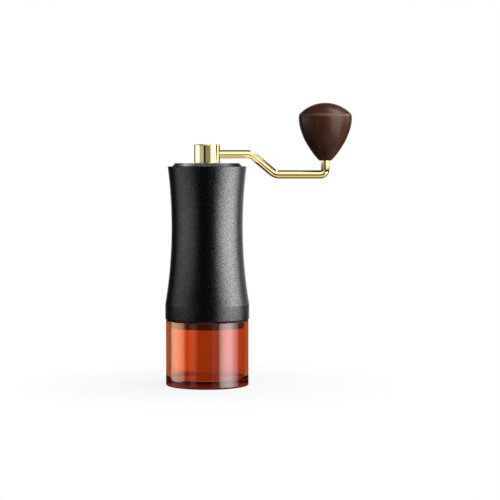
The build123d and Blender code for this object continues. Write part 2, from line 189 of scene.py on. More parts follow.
def ring(
    inner: float, outer: float, bottom: float, top: float, inner_round: float, outer_round: float
) -> list[Corner]:
    """Give the closed outline of a ring with rounded edges.

    Args:
        inner: Radius of its bore.
        outer: Its outer radius.
        bottom: Height of its underside.
        top: Height of its top.
        inner_round: How far the edges of its bore are rounded.
        outer_round: How far its outer edges are rounded.

    Returns:
        Its corners, from the middle of the bore and back there.
    """
    middle = (bottom + top) / 2
    return [
        Corner(inner, middle),
        Corner(inner, bottom, inner_round),
        Corner(outer, bottom, outer_round),
        Corner(outer, top, outer_round),
        Corner(inner, top, inner_round),
        Corner(inner, middle),
    ]


def flowing(points: Sequence[Point], start: Point, end: Point, steps: int) -> list[Point]:
    """Give a smooth curve through a few points.

    Args:
        points: The points that it passes.
        start: Its direction at the first point.
        end: Its direction at the last point.
        steps: How many steps it has between two points.

    Returns:
        Points along the curve.
    """
    knots = [Vector(point) for point in points]
    spans = [(after - before).length for before, after in zip(knots, knots[1:])]
    ways = [Vector(start).normalized()]
    for index in range(1, len(knots) - 1):
        left = (knots[index] - knots[index - 1]) / spans[index - 1]
        right = (knots[index + 1] - knots[index]) / spans[index]
        ways.append((left * spans[index] + right * spans[index - 1]) / (spans[index] + spans[index - 1]))
    ways.append(Vector(end).normalized())
    curve = []
    for index, span in enumerate(spans):
        for step in range(steps):
            t = step / steps
            curve.append(
                knots[index] * (2 * t**3 - 3 * t**2 + 1)
                + ways[index] * span * (t**3 - 2 * t**2 + t)
                + knots[index + 1] * (3 * t**2 - 2 * t**3)
                + ways[index + 1] * span * (t**3 - t**2)
            )
    return [(point.x, point.y) for point in curve] + [tuple(points[-1])]


# Bench


class Bench:
    """Tools that shape one mesh at a time with Blender's operators."""

    SEED = 0.001

    @staticmethod
    def clear() -> None:
        """Leave nothing selected."""
        bpy.ops.object.select_all(action="DESELECT")

    @classmethod
    def pick(cls, obj: Object) -> None:
        """Select one object alone and make it the active one."""
        cls.clear()
        obj.select_set(True)
        bpy.context.view_layer.objects.active = obj

    @staticmethod
    def settle() -> None:
        """Put the place, turn and size of what is selected into its mesh."""
        bpy.ops.object.transform_apply(location=True, rotation=True, scale=True)

    @staticmethod
    def begin(name: str) -> Object:
        """Name the primitive that was just added and open it for editing."""
        obj = bpy.context.object
        obj.name = name
        obj.data.name = name
        bpy.ops.object.mode_set(mode="EDIT")
        bpy.ops.mesh.select_all(action="SELECT")
        return obj

    @classmethod
    def finish(cls, obj: Object, angle: float = SMOOTH_ANGLE) -> Object:
        """Close a mesh: merge doubles, turn its faces outwards, put its place in the mesh and smooth it.

        Args:
            obj: The object that is open for editing.
            angle: Edges sharper than this stay crisp.

        Returns:
            The same object, at the origin.
        """
        bpy.ops.mesh.select_all(action="SELECT")
        bpy.ops.mesh.remove_doubles(threshold=MERGE)
        bpy.ops.mesh.normals_make_consistent(inside=False)
        bpy.ops.object.mode_set(mode="OBJECT")
        cls.settle()
        bpy.ops.object.shade_smooth_by_angle(angle=angle)
        return obj

    @classmethod
    def trace(cls, name: str, points: Sequence[Point], axis_x: float = 0.0) -> Object:
        """Draw an outline as a chain of edges beside an upright axis, and leave it open for editing.

        Args:
            name: Name of the new object.
            points: Radius and height of each point.
            axis_x: Where the axis stands on X.

        Returns:
            The new object.
        """
        cls.clear()
        first = points[0]
        bpy.ops.mesh.primitive_plane_add(size=cls.SEED, location=(axis_x + first[0], 0, first[1]))
        obj = cls.begin(name)
        bpy.ops.mesh.merge(type="CENTER")
        for before, after in zip(points, points[1:]):
            step = (after[0] - before[0], 0, after[1] - before[1])
            bpy.ops.mesh.extrude_vertices_move(TRANSFORM_OT_translate={"value": step})
        bpy.ops.mesh.select_all(action="SELECT")
        return obj

    @classmethod
    def turn(
        cls,
        name: str,
        points: Sequence[Point],
        axis_x: float = 0.0,
        steps: int = 128,
        angle: float = SMOOTH_ANGLE,
    ) -> Object:
        """Turn an outline about an upright axis.

        Args:
            name: Name of the new object.
            points: Radius and height of each point of the outline.
            axis_x: Where the axis stands on X.
            steps: How many steps make the full turn.
            angle: Edges sharper than this stay crisp.

        Returns:
            The turned object.
        """
        obj = cls.trace(name, points, axis_x)
        bpy.ops.mesh.spin(steps=steps, angle=FULL_TURN, center=(axis_x, 0, 0), axis=(0, 0, 1))
        return cls.finish(obj, angle)

    @classmethod
    def modify(cls, obj: Object, kind: str, **settings: object) -> None:
        """Add a modifier to an object and apply it.

        Args:
            obj: The object.
            kind: The modifier's type.
            settings: Its settings by name.
        """
        cls.pick(obj)
        modifier = obj.modifiers.new(kind.lower(), kind)
        for key, value in settings.items():
            setattr(modifier, key, value)
        bpy.ops.object.modifier_apply(modifier=modifier.name)

    @classmethod
    def true(cls, obj: Object) -> None:
        """Let large faces set the shading, so that straight walls mirror straight beside rounded edges."""
        cls.modify(obj, "WEIGHTED_NORMAL", mode="FACE_AREA", weight=90, keep_sharp=True)

    @classmethod
    def cut(cls, obj: Object, tool: Object, angle: float = SMOOTH_ANGLE) -> None:
        """Cut one object's shape out of another and delete it.

        Args:
            obj: The object that is cut.
            tool: The shape that is cut out.
            angle: Edges sharper than this stay crisp.
        """
        cls.modify(obj, "BOOLEAN", operation="DIFFERENCE", solver="EXACT", object=tool)
        bpy.data.objects.remove(tool)
        bpy.ops.object.shade_smooth_by_angle(angle=angle)

    @classmethod
    def hexagon(cls, name: str, flats: float, bottom: float, top: float) -> Object:
        """Make an upright hexagon bar on the grinder's axis, to cut sockets with.

        Args:
            name: Name of the new object.
            flats: Its size across flats.
            bottom: Height of its lower end.
            top: Height of its upper end.

        Returns:
            The bar.
        """
        cls.clear()
        bpy.ops.mesh.primitive_cylinder_add(
            vertices=6, radius=flats / math.sqrt(3), depth=top - bottom, location=(0, 0, (top + bottom) / 2)
        )
        return cls.finish(cls.begin(name), 0.0)

    @classmethod
    def screw(cls, obj: Object, turns: float, rise: float, steps: int) -> None:
        """Screw a section that is open for editing up the grinder's axis, close its ends and finish it.

        Args:
            obj: The object with the section.
            turns: How many turns it makes.
            rise: How far it rises in all.
            steps: How many steps make a full turn.
        """
        bpy.ops.object.mode_set(mode="OBJECT")
        cls.settle()
        count = round(steps * turns)
        cls.modify(obj, "SCREW", angle=FULL_TURN * turns, screw_offset=rise, steps=count, render_steps=count)
        bpy.ops.object.mode_set(mode="EDIT")
        bpy.ops.mesh.select_all(action="SELECT")
        bpy.ops.mesh.fill_holes(sides=0)
        cls.finish(obj)

    @staticmethod
    def copy(obj: Object, name: str) -> Object:
        """Copy an object with its own mesh.

        Args:
            obj: The object.
            name: Name of the copy.

        Returns:
            The copy.
        """
        twin = obj.copy()
        twin.data = obj.data.copy()
        twin.name = name
        twin.data.name = name
        bpy.context.scene.collection.objects.link(twin)
        return twin

    @classmethod
    def shift(cls, obj: Object, move: Place, turn: float = 0.0) -> None:
        """Move a finished object, then turn it about the grinder's axis, and put the result in its mesh.

        Args:
            obj: The object.
            move: How far it moves.
            turn: Angle of the turn in radians.
        """
        cls.pick(obj)
        obj.location = move
        cls.settle()
        obj.rotation_euler = (0, 0, turn)
        cls.settle()

    @classmethod
    def join(cls, objects: Sequence[Object], name: str) -> Object:
        """Join objects into the first one.

        Args:
            objects: The objects.
            name: Name of the joined object.

        Returns:
            The joined object.
        """
        cls.clear()
        for obj in objects:
            obj.select_set(True)
        bpy.context.view_layer.objects.active = objects[0]
        bpy.ops.object.join()
        objects[0].name = name
        objects[0].data.name = name
        return objects[0]


# Shader sheets


class Signal:
    """Shader socket that takes part in Python sums."""

    def __init__(self, sheet: "Sheet", socket: bpy.types.NodeSocket) -> None:
        """Keep the socket and the sheet that it is on."""
        self.sheet = sheet
        self.socket = socket

    def math(self, operation: str, first: "Number", second: "Number") -> "Signal":
        """Add a Math node for one sum.

        Args:
            operation: The node's operation.
            first: Its first value.
            second: Its second value.

        Returns:
            The result.
        """
        return self.sheet.add("ShaderNodeMath", {"operation": operation}, {0: first, 1: second})

    def __add__(self, other: "Number") -> "Signal":
        """Add a value."""
        return self.math("ADD", self, other)

    def __radd__(self, other: "Number") -> "Signal":
        """Add to a value."""
        return self.math("ADD", other, self)

    def __sub__(self, other: "Number") -> "Signal":
        """Take a value away."""
        return self.math("SUBTRACT", self, other)

    def __rsub__(self, other: "Number") -> "Signal":
        """Take away from a value."""
        return self.math("SUBTRACT", other, self)

    def __mul__(self, other: "Number") -> "Signal":
        """Multiply by a value."""
        return self.math("MULTIPLY", self, other)

    def __rmul__(self, other: "Number") -> "Signal":
        """Multiply a value."""
        return self.math("MULTIPLY", other, self)

    def __pow__(self, other: "Number") -> "Signal":
        """Raise to a power."""
        return self.math("POWER", self, other)

    def most(self, other: "Number") -> "Signal":
        """Take the larger value."""
        return self.math("MAXIMUM", self, other)


Number = Signal | float


class Sheet:
    """Node sheet of a material, a lamp or the world."""

    COLOUR_A = 6
    COLOUR_B = 7
    COLOUR_RESULT = 2

    def __init__(self, owner: bpy.types.Material | bpy.types.Light | bpy.types.World) -> None:
        """Open an empty sheet on its owner."""
        owner.use_nodes = True
        self.tree = owner.node_tree
        self.tree.nodes.clear()

    def feed(self, socket: bpy.types.NodeSocket, value: object) -> None:
        """Link a signal to a socket, or set the socket's own value."""
        if isinstance(value, Signal):
            self.tree.links.new(value.socket, socket)
        elif isinstance(value, tuple) and len(value) == 3 and socket.type == "RGBA":
            socket.default_value = (*value, 1.0)
        else:
            socket.default_value = value

    def add(
        self,
        kind: str,
        settings: dict[str, object] | None = None,
        inputs: dict[str | int, object] | None = None,
        output: str | int = 0,
    ) -> Signal:
        """Add a node.

        Args:
            kind: The node's type.
            settings: Its settings, set first. The key stops holds a colour ramp's stops.
            inputs: Values or signals for its sockets.
            output: The socket that is given back.

        Returns:
            The node's output.
        """
        node = self.tree.nodes.new(kind)
        for key, value in (settings or {}).items():
            if key == "stops":
                self.set_stops(node.color_ramp, value)
            else:
                setattr(node, key, value)
        for key, value in (inputs or {}).items():
            self.feed(node.inputs[key], value)
        return Signal(self, node.outputs[output]) if node.outputs else None

    @staticmethod
    def set_stops(ramp: bpy.types.ColorRamp, stops: Sequence[tuple[float, Colour]]) -> None:
        """Give a colour ramp its stops of place and colour."""
        while len(ramp.elements) < len(stops):
            ramp.elements.new(1.0)
        for element, (place, colour) in zip(ramp.elements, stops):
            element.position = place
            element.color = (*colour, 1.0)

    def place(self, scale: Place = (1, 1, 1), centre: Place = (0, 0, 0)) -> Signal:
        """Give the place on the piece, measured from a centre and scaled on each axis."""
        start = tuple(-middle * factor for middle, factor in zip(centre, scale))
        source = self.add("ShaderNodeTexCoord", output="Object")
        return self.add("ShaderNodeMapping", inputs={"Vector": source, "Location": start, "Scale": scale})

    def split(self, vector: Signal) -> list[Signal]:
        """Give the three parts of a vector."""
        node = self.tree.nodes.new("ShaderNodeSeparateXYZ")
        self.feed(node.inputs[0], vector)
        return [Signal(self, output) for output in node.outputs]

    def ray(self, kind: str) -> Signal:
        """Say whether the ray that arrives is of one kind."""
        return self.add("ShaderNodeLightPath", output=f"Is {kind} Ray")

    def seen(self) -> Signal:
        """Say whether the ray that arrives comes from the camera, straight or bent through clear plastic."""
        return self.ray("Camera").most(self.ray("Transmission"))

    def noise(self, where: Signal, scale: float, detail: float = 2.0, rough: float = 0.5) -> Signal:
        """Give a soft random pattern from 0 to 1."""
        values = {"Vector": where, "Scale": scale, "Detail": detail, "Roughness": rough}
        return self.add("ShaderNodeTexNoise", inputs=values)

    def range(self, value: Signal, low: float, high: float, first: float = 0.0, last: float = 1.0) -> Signal:
        """Stretch a range of values to another one and hold it there."""
        values = {"Value": value, "From Min": low, "From Max": high, "To Min": first, "To Max": last}
        return self.add("ShaderNodeMapRange", {"clamp": True}, values)

    def mix(self, factor: Number, first: Signal | Colour, second: Signal | Colour) -> Signal:
        """Mix two colours."""
        values = {0: factor, self.COLOUR_A: first, self.COLOUR_B: second}
        return self.add("ShaderNodeMix", {"data_type": "RGBA"}, values, self.COLOUR_RESULT)

    def ramp(self, factor: Signal, stops: Sequence[tuple[float, Colour]]) -> Signal:
        """Colour a value by a ramp."""
        return self.add("ShaderNodeValToRGB", {"stops": stops}, {"Fac": factor})

    def bump(self, height: Signal, depth: float, strength: float = 1.0) -> Signal:
        """Give the normal of a surface with this height pattern."""
        return self.add("ShaderNodeBump", inputs={"Height": height, "Distance": depth, "Strength": strength})

    def surface(self, **inputs: object) -> Signal:
        """Add the surface shader, with underscores in place of the spaces in its sockets' names."""
        values = {key.replace("_", " "): value for key, value in inputs.items()}
        return self.add("ShaderNodeBsdfPrincipled", inputs=values)

    def output(self, surface: Signal, volume: Signal | None = None) -> None:
        """Lead the finished shader to the material's output."""
        ends = {"Surface": surface} if volume is None else {"Surface": surface, "Volume": volume}
        self.add("ShaderNodeOutputMaterial", inputs=ends)


# Finishes


class Lay(Enum):
    """Which way a tool has left its marks on metal."""

    TURNED = "rings round the upright axis"
    DRAWN = "lines along the upright axis"
    BLASTED = "even grit"


def scaled(tint: Colour, factor: float) -> Colour:
    """Make a colour lighter or darker."""
    return tuple(factor * value for value in tint)


@dataclass(frozen=True)
class Finish:
    """A finish: its name and the record's slot that it belongs to."""

    name: str
    slot: str

    def make(self) -> bpy.types.Material:
        """Make the material and fill its sheet."""
        material = bpy.data.materials.new(self.name)
        self.fill(Sheet(material))
        return material

    def fill(self, sheet: Sheet) -> None:
        """Fill the sheet, which each kind of finish does in its own way."""
        raise NotImplementedError


@dataclass(frozen=True)
class GrainCoat(Finish):
    """Black baked coat with a fine sparkling grain: glossy grains stand out of a duller ground."""

    grain: float = 1650.0
    depth: float = 0.00008
    gloss: float = 0.21
    scatter: float = 0.16
    cloud: float = 60.0
    cloud_spread: float = 0.06
    speck_low: float = 0.42
    speck_high: float = 0.60
    relief: float = 0.8
    shine: float = 0.62
    grain_ior: float = 1.68
    dark: Colour = (0.0015, 0.0015, 0.0016)
    light: Colour = (0.004, 0.004, 0.0042)

    def fill(self, sheet: Sheet) -> None:
        """Fill the sheet with the coat's grain."""
        where = sheet.place()
        grain = sheet.noise(where, self.grain, 1.0, 0.5)
        cloud = sheet.noise(where, self.cloud, 2.0)
        speck = sheet.range(grain, self.speck_low, self.speck_high)
        colour = sheet.mix(speck, self.dark, self.light)
        sheet.output(
            sheet.surface(
                Base_Color=colour,
                Roughness=self.gloss + speck * self.scatter + (cloud - 0.5) * self.cloud_spread,
                Normal=sheet.bump(grain, self.depth, self.relief),
                Specular_IOR_Level=self.shine,
                Coat_Weight=speck,
                Coat_Roughness=self.gloss,
                Coat_IOR=self.grain_ior,
            )
        )


@dataclass(frozen=True)
class PolishedGold(Finish):
    """Bright plated metal with the last traces of its polishing."""

    tint: Colour = (0.90, 0.765, 0.39)
    deep: Colour = (0.87, 0.715, 0.335)
    cloud: float = 90.0
    lines: float = 420.0
    lines_stretch: Place = (1, 1, 14)
    gloss: float = 0.045
    spread: float = 0.03
    depth: float = 0.000002

    def fill(self, sheet: Sheet) -> None:
        """Fill the sheet with the plating."""
        cloud = sheet.noise(sheet.place(), self.cloud, 3.0)
        lines = sheet.noise(sheet.place(self.lines_stretch), self.lines, 2.0)
        colour = sheet.mix(cloud, self.tint, self.deep)
        rough = self.gloss + sheet.range(lines, 0.35, 0.75) * self.spread + cloud * self.spread
        normal = sheet.bump(lines, self.depth, 0.4)
        sheet.output(sheet.surface(Base_Color=colour, Metallic=1.0, Roughness=rough, Normal=normal))


@dataclass(frozen=True)
class DarkWood(Finish):
    """Dark oiled wood, its grain along the axis that it was turned on."""

    axis_x: float = 0.0
    # Height and half-width of a painted highlight band along the knob's shoulder
    edge: float = 0.0
    edge_width: float = 0.0010
    shine: float = 0.30
    light: Colour = (0.078, 0.032, 0.0165)
    middle: Colour = (0.046, 0.0168, 0.0078)
    dark: Colour = (0.022, 0.0075, 0.0035)
    # Colour of the painted highlight at the shoulder, lighter than the wood
    rubbed: Colour = (0.115, 0.062, 0.040)
    sway: float = 55.0
    sway_stretch: Place = (1, 1, 0.35)
    figure: float = 260.0
    figure_stretch: Place = (1, 1, 0.06)
    figure_share: float = 0.65
    pores: float = 1500.0
    pores_stretch: Place = (1, 1, 0.045)
    pore_shade: float = 0.55
    rub_share: float = 0.8
    gloss: float = 0.27
    depth: float = 0.00006

    def fill(self, sheet: Sheet) -> None:
        """Fill the sheet with figure, pores, a soft oiled gloss and a painted highlight, a pale band along
        the shoulder edge.
        """
        centre = (self.axis_x, 0.0, 0.0)
        sway = sheet.noise(sheet.place(self.sway_stretch, centre), self.sway, 2.0)
        figure = sheet.noise(sheet.place(self.figure_stretch, centre), self.figure, 4.0, 0.6)
        pores = sheet.noise(sheet.place(self.pores_stretch, centre), self.pores, 2.0, 0.6)
        band = figure * self.figure_share + sway * (1 - self.figure_share)
        colour = sheet.ramp(band, [(0.30, self.dark), (0.50, self.middle), (0.70, self.light)])
        pore = sheet.range(pores, 0.56, 0.68)
        colour = sheet.mix(pore * self.pore_shade, colour, self.dark)
        # Painted highlight: the base colour is lightened in a thin band at the shoulder's height, where
        # light catches the edge
        away = (sheet.split(sheet.place())[2] - self.edge) ** 2.0
        painted_highlight_mask = sheet.range(away, 0.0, self.edge_width**2, 1.0, 0.0)
        colour = sheet.mix(painted_highlight_mask * self.rub_share, colour, self.rubbed)
        rough = self.gloss + pore * 0.16 + figure * 0.08
        normal = sheet.bump(figure * 2.0 - pore, self.depth, 0.35)
        sheet.output(
            sheet.surface(Base_Color=colour, Roughness=rough, Normal=normal, Specular_IOR_Level=self.shine)
        )


@dataclass(frozen=True)
class ClearAmber(Finish):
    """Clear amber plastic, dyed mostly in its skin, that deepens to red where it is thick."""

    skin: Colour = (0.60, 0.20, 0.049)
    hue: Colour = (0.76, 0.35, 0.23)
    density: float = 150.0
    ior: float = 1.49
    smear: float = 40.0
    polished: float = 0.004
    smeared: float = 0.03

    def fill(self, sheet: Sheet) -> None:
        """Fill the sheet with clear plastic and the colour that it takes out of the light."""
        smear = sheet.noise(sheet.place(), self.smear, 3.0)
        rough = sheet.range(smear, 0.45, 0.8, self.polished, self.smeared)
        clear = sheet.surface(Base_Color=self.skin, Roughness=rough, IOR=self.ior, Transmission_Weight=1.0)
        volume = sheet.add("ShaderNodeVolumeAbsorption", inputs={"Color": self.hue, "Density": self.density})
        sheet.output(clear, volume)


@dataclass(frozen=True)
class Rubber(Finish):
    """Dull black rubber."""

    tint: Colour = (0.016, 0.016, 0.017)

    def fill(self, sheet: Sheet) -> None:
        """Fill the sheet with a dusty dull skin."""
        dust = sheet.noise(sheet.place(), 900.0, 3.0)
        colour = sheet.mix(dust, self.tint, scaled(self.tint, 2.2))
        normal = sheet.bump(dust, 0.00003, 0.4)
        sheet.output(sheet.surface(Base_Color=colour, Roughness=0.62 + dust * 0.2, Normal=normal))


@dataclass(frozen=True)
class MachinedMetal(Finish):
    """Metal with the marks of the tool that made it."""

    tint: Colour
    rough: float
    lay: Lay = Lay.TURNED
    metallic: float = 1.0
    depth: float = 0.000006
    marks: float = 3200.0
    cloud: float = 120.0
    shade: float = 0.78

    def fill(self, sheet: Sheet) -> None:
        """Fill the sheet with tool marks and a little wear."""
        stretch = {Lay.TURNED: (0.02, 0.02, 1.0), Lay.DRAWN: (1.0, 1.0, 0.02), Lay.BLASTED: (1.0, 1.0, 1.0)}
        marks = sheet.noise(sheet.place(stretch[self.lay]), self.marks, 3.0, 0.6)
        cloud = sheet.noise(sheet.place(), self.cloud, 3.0)
        wear = sheet.range(cloud * 0.5 + marks * 0.5, 0.3, 0.7)
        colour = sheet.mix(wear, scaled(self.tint, self.shade), self.tint)
        rough = self.rough + (marks - 0.5) * 0.18 + (cloud - 0.5) * 0.08
        normal = sheet.bump(marks, self.depth, 0.5)
        sheet.output(
            sheet.surface(Base_Color=colour, Metallic=self.metallic, Roughness=rough, Normal=normal)
        )


@dataclass(frozen=True)
class MouldedNylon(Finish):
    """Pale moulded plastic."""

    tint: Colour = (0.62, 0.61, 0.56)

    def fill(self, sheet: Sheet) -> None:
        """Fill the sheet with a faintly mottled skin."""
        cloud = sheet.noise(sheet.place(), 300.0, 3.0)
        colour = sheet.mix(cloud, self.tint, scaled(self.tint, 0.85))
        sheet.output(sheet.surface(Base_Color=colour, Roughness=0.42 + cloud * 0.12))


@dataclass(frozen=True)
class DialPaint(Finish):
    """Pale paint of the numbers on the dial."""

    tint: Colour = (0.70, 0.70, 0.68)

    def fill(self, sheet: Sheet) -> None:
        """Fill the sheet with slightly worn paint."""
        wear = sheet.range(sheet.noise(sheet.place(), 1400.0, 3.0), 0.5, 0.75)
        colour = sheet.mix(wear * 0.5, self.tint, scaled(self.tint, 0.5))
        sheet.output(sheet.surface(Base_Color=colour, Roughness=0.5 + wear * 0.2))


class Shelf:
    """The finishes of the grinder, each made once."""

    def __init__(self) -> None:
        """Make every finish."""
        low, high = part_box("knob")
        finishes: list[Finish] = [
            GrainCoat("sleeve_grain_coat", "black_grain"),
            GrainCoat(
                "lid_grain_coat", "black_satin", grain=2600.0, depth=0.00004, gloss=0.28, grain_ior=1.5
            ),
            PolishedGold("crank_gold", "polished_gold"),
            DarkWood("knob_wood", "dark_wood", (low[0] + high[0]) / 2, low[2] + Knob.rubbed_rise),
            ClearAmber("jar_amber", "amber_clear"),
            Rubber("seal_rubber", "black_rubber"),
            MachinedMetal("carrier_anodised", "black_anodised", (0.10, 0.10, 0.105), 0.42, metallic=0.6),
            MachinedMetal("tube_aluminium", "bare_aluminium", (0.74, 0.74, 0.75), 0.34),
            MachinedMetal("bearing_steel", "bearing_steel", (0.66, 0.66, 0.68), 0.22),
            MachinedMetal("burr_steel", "tool_steel", (0.50, 0.50, 0.52), 0.34, Lay.BLASTED),
            MachinedMetal("spring_steel", "spring_steel", (0.46, 0.46, 0.48), 0.28, Lay.DRAWN),
            MouldedNylon("bush_nylon", "white_nylon"),
            MachinedMetal("bush_brass", "bush_brass", (0.76, 0.58, 0.28), 0.30),
        ]
        self.slots = {finish.slot: finish.make() for finish in finishes}
        self.paint = DialPaint("dial_paint", "bare_aluminium").make()

    def dress(self, obj: Object, slot: str) -> None:
        """Give an object the finish of one slot."""
        obj.data.materials.clear()
        obj.data.materials.append(self.slots[slot])

    def dress_nodes(self) -> None:
        """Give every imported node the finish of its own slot."""
        for part in frame["record"]["subparts"]:
            node = frame["nodes"][part["node"]]
            for place in node.material_slots:
                place.material = self.slots[part["material_slot"]]


# Sub-assemblies


@dataclass
class Assembly:
    """A sub-assembly: it models its pieces and puts them on the frame."""

    shelf: Shelf

    def seat(self, obj: Object, body: str, slot: str, *nodes: str) -> Object:
        """Dress a piece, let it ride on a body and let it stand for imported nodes.

        Args:
            obj: The piece.
            body: The body that carries it.
            slot: The record's slot of its finish.
            nodes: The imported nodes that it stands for.

        Returns:
            The piece.
        """
        Bench.true(obj)
        self.shelf.dress(obj, slot)
        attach(obj, body)
        if nodes:
            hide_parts(*nodes)
        log.info("%s: %d faces, on body %s", obj.name, len(obj.data.polygons), body)
        return obj


@dataclass
class Jar(Assembly):
    """Clear jar that catches the grounds, and its seal."""

    wall: float = 0.0025
    base: float = 0.0048
    foot_round: float = 0.0011
    floor_round: float = 0.0022
    lip_round: float = 0.0004
    seal_edge: float = 0.4
    steps: int = 192
    round_steps: int = 8
    seal_round_steps: int = 4

    def build(self) -> None:
        """Model the jar with its thick base, and its seal."""
        low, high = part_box("grounds_jar")
        radius = high[0]
        bore = radius - self.wall
        corners = [
            Corner(0.0, low[2]),
            Corner(radius, low[2], self.foot_round),
            Corner(radius, high[2], self.lip_round),
            Corner(bore, high[2], self.lip_round),
            Corner(bore, self.base, self.floor_round),
            Corner(0.0, self.base),
        ]
        jar = Bench.turn("jar_clear", outline(corners, self.round_steps), steps=self.steps)
        self.seat(jar, "jar", "amber_clear", "grounds_jar")
        self.build_seal()

    def build_seal(self) -> None:
        """Model the seal, a flat ring with rounded edges."""
        low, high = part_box("jar_seal")
        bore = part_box("grounds_jar")[1][0] - self.wall
        edge = (high[2] - low[2]) * self.seal_edge
        corners = ring(bore, high[0], low[2], high[2], edge, edge)
        seal = Bench.turn("jar_seal_ring", outline(corners, self.seal_round_steps), steps=RING_STEPS)
        self.seat(seal, "seal", "black_rubber", "jar_seal")


@dataclass
class Body(Assembly):
    """Waisted sleeve and the thread of the neck that the jar screws on."""

    waist_radius: float = 0.02326
    waist_drop: float = 0.0393
    rim_radius: float = 0.02575
    band: float = 0.0099
    wall: float = 0.0018
    lid_seat_drop: float = 0.0018
    lid_seat_radius: float = 0.02295
    shelf_thickness: float = 0.0026
    hopper_radius: float = 0.0212
    collar_round: float = 0.0007
    crease_round: float = 0.0003
    rim_round: float = 0.0004
    thread_root: float = 0.0242
    thread_crest: float = 0.02456
    thread_pitch: float = 0.0032
    thread_turns: float = 1.1
    thread_half: float = 0.22
    thread_flat: float = 0.45
    thread_lead: float = 1.3
    crease_angle: float = math.radians(24)
    sweep_steps: int = 28
    steps: int = 160

    def build(self) -> None:
        """Model the sleeve and the neck's thread."""
        low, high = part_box("outer_sleeve")
        collar, foot, rim = high[0], low[2], high[2]
        middle = collar - self.wall / 2
        seat = rim - self.lid_seat_drop
        ledge = seat - self.shelf_thickness
        waist = (self.waist_radius, rim - self.waist_drop)
        band = (collar, foot + self.band)
        lower = waisted(waist, band, self.sweep_steps)
        upper = waisted(waist, (self.rim_radius, rim), self.sweep_steps)
        lower_inner = [(radius - self.wall, height) for radius, height in lower]
        upper_inner = [(radius - self.wall, height) for radius, height in upper if height < ledge]
        corners = [
            Corner(middle, foot),
            Corner(collar, foot, self.collar_round),
            Corner(*band, self.crease_round),
            *[Corner(*point) for point in lower[-2:0:-1] + upper[:-1]],
            Corner(self.rim_radius, rim, self.rim_round),
            Corner(self.lid_seat_radius, rim, self.rim_round / 2),
            Corner(self.lid_seat_radius, seat),
            Corner(self.hopper_radius, seat),
            Corner(self.hopper_radius, ledge),
            *[Corner(*point) for point in upper_inner[::-1] + lower_inner[1:]],
            Corner(collar - self.wall, foot),
            Corner(middle, foot),
        ]
        sleeve = Bench.turn("body_sleeve", outline(corners), steps=self.steps, angle=self.crease_angle)
        self.seat(sleeve, "housing", "black_grain", "outer_sleeve")
        self.build_thread()

    def build_thread(self) -> None:
        """Model the raised thread of the neck: its section is drawn once and screwed up the neck."""
        half = self.thread_pitch * self.thread_half
        crest = half * self.thread_flat
        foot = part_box("burr_carrier")[0][2] + self.thread_lead * half
        section = [
            (self.thread_root, foot - half),
            (self.thread_crest, foot - crest),
            (self.thread_crest, foot + crest),
            (self.thread_root, foot + half),
            (self.thread_root, foot - half),
        ]
        thread = Bench.trace("neck_thread", section)
        bpy.ops.mesh.remove_doubles(threshold=MERGE)
        Bench.screw(thread, self.thread_turns, self.thread_pitch * self.thread_turns, RING_STEPS)
        self.seat(thread, "housing", "black_anodised")


@dataclass
class Lid(Assembly):
    """Bevelled lid that is let into the rim, and the rubber ring of its plug."""

    top_radius: float = 0.0210
    bevel_drop: float = 0.00205
    ledge_drop: float = 0.00375
    plug_radius: float = 0.0194
    plug_wall: float = 0.0015
    plate: float = 0.00285
    bush_radius: float = 0.0062
    edge_round: float = 0.0003
    ring_flat: float = 0.7
    crease_angle: float = math.radians(24)

    def build(self) -> None:
        """Model the lid with its plug and the groove of its seal, then the seal, flattened in its groove."""
        low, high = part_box("lid")
        ring_low, ring_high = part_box("lid_seal")
        radius, top, foot = high[0], high[2], low[2]
        ledge = top - self.ledge_drop
        under = top - self.plate
        bore = self.plug_radius - self.plug_wall
        groove = ring_high[0] - (ring_high[2] - ring_low[2])
        middle = (self.bush_radius + self.top_radius) / 2
        corners = [
            Corner(middle, top),
            Corner(self.top_radius, top, self.edge_round),
            Corner(radius, top - self.bevel_drop, self.edge_round),
            Corner(radius, ledge, self.edge_round),
            Corner(self.plug_radius, ledge),
            Corner(self.plug_radius, ring_high[2]),
            Corner(groove, ring_high[2]),
            Corner(groove, ring_low[2]),
            Corner(self.plug_radius, ring_low[2]),
            Corner(self.plug_radius, foot, self.edge_round),
            Corner(bore, foot, self.edge_round),
            Corner(bore, under, self.edge_round),
            Corner(self.bush_radius, under),
            Corner(self.bush_radius, top),
            Corner(middle, top),
        ]
        lid = Bench.turn("lid_disc", outline(corners), angle=self.crease_angle)
        self.seat(lid, "lid", "black_satin", "lid")
        half = (ring_high[2] - ring_low[2]) / 2
        corners = ring(groove, ring_high[0], ring_low[2], ring_high[2], half * self.ring_flat, half)
        seal = Bench.turn("lid_seal_ring", outline(corners), steps=RING_STEPS)
        self.seat(seal, "lid", "black_rubber", "lid_seal")


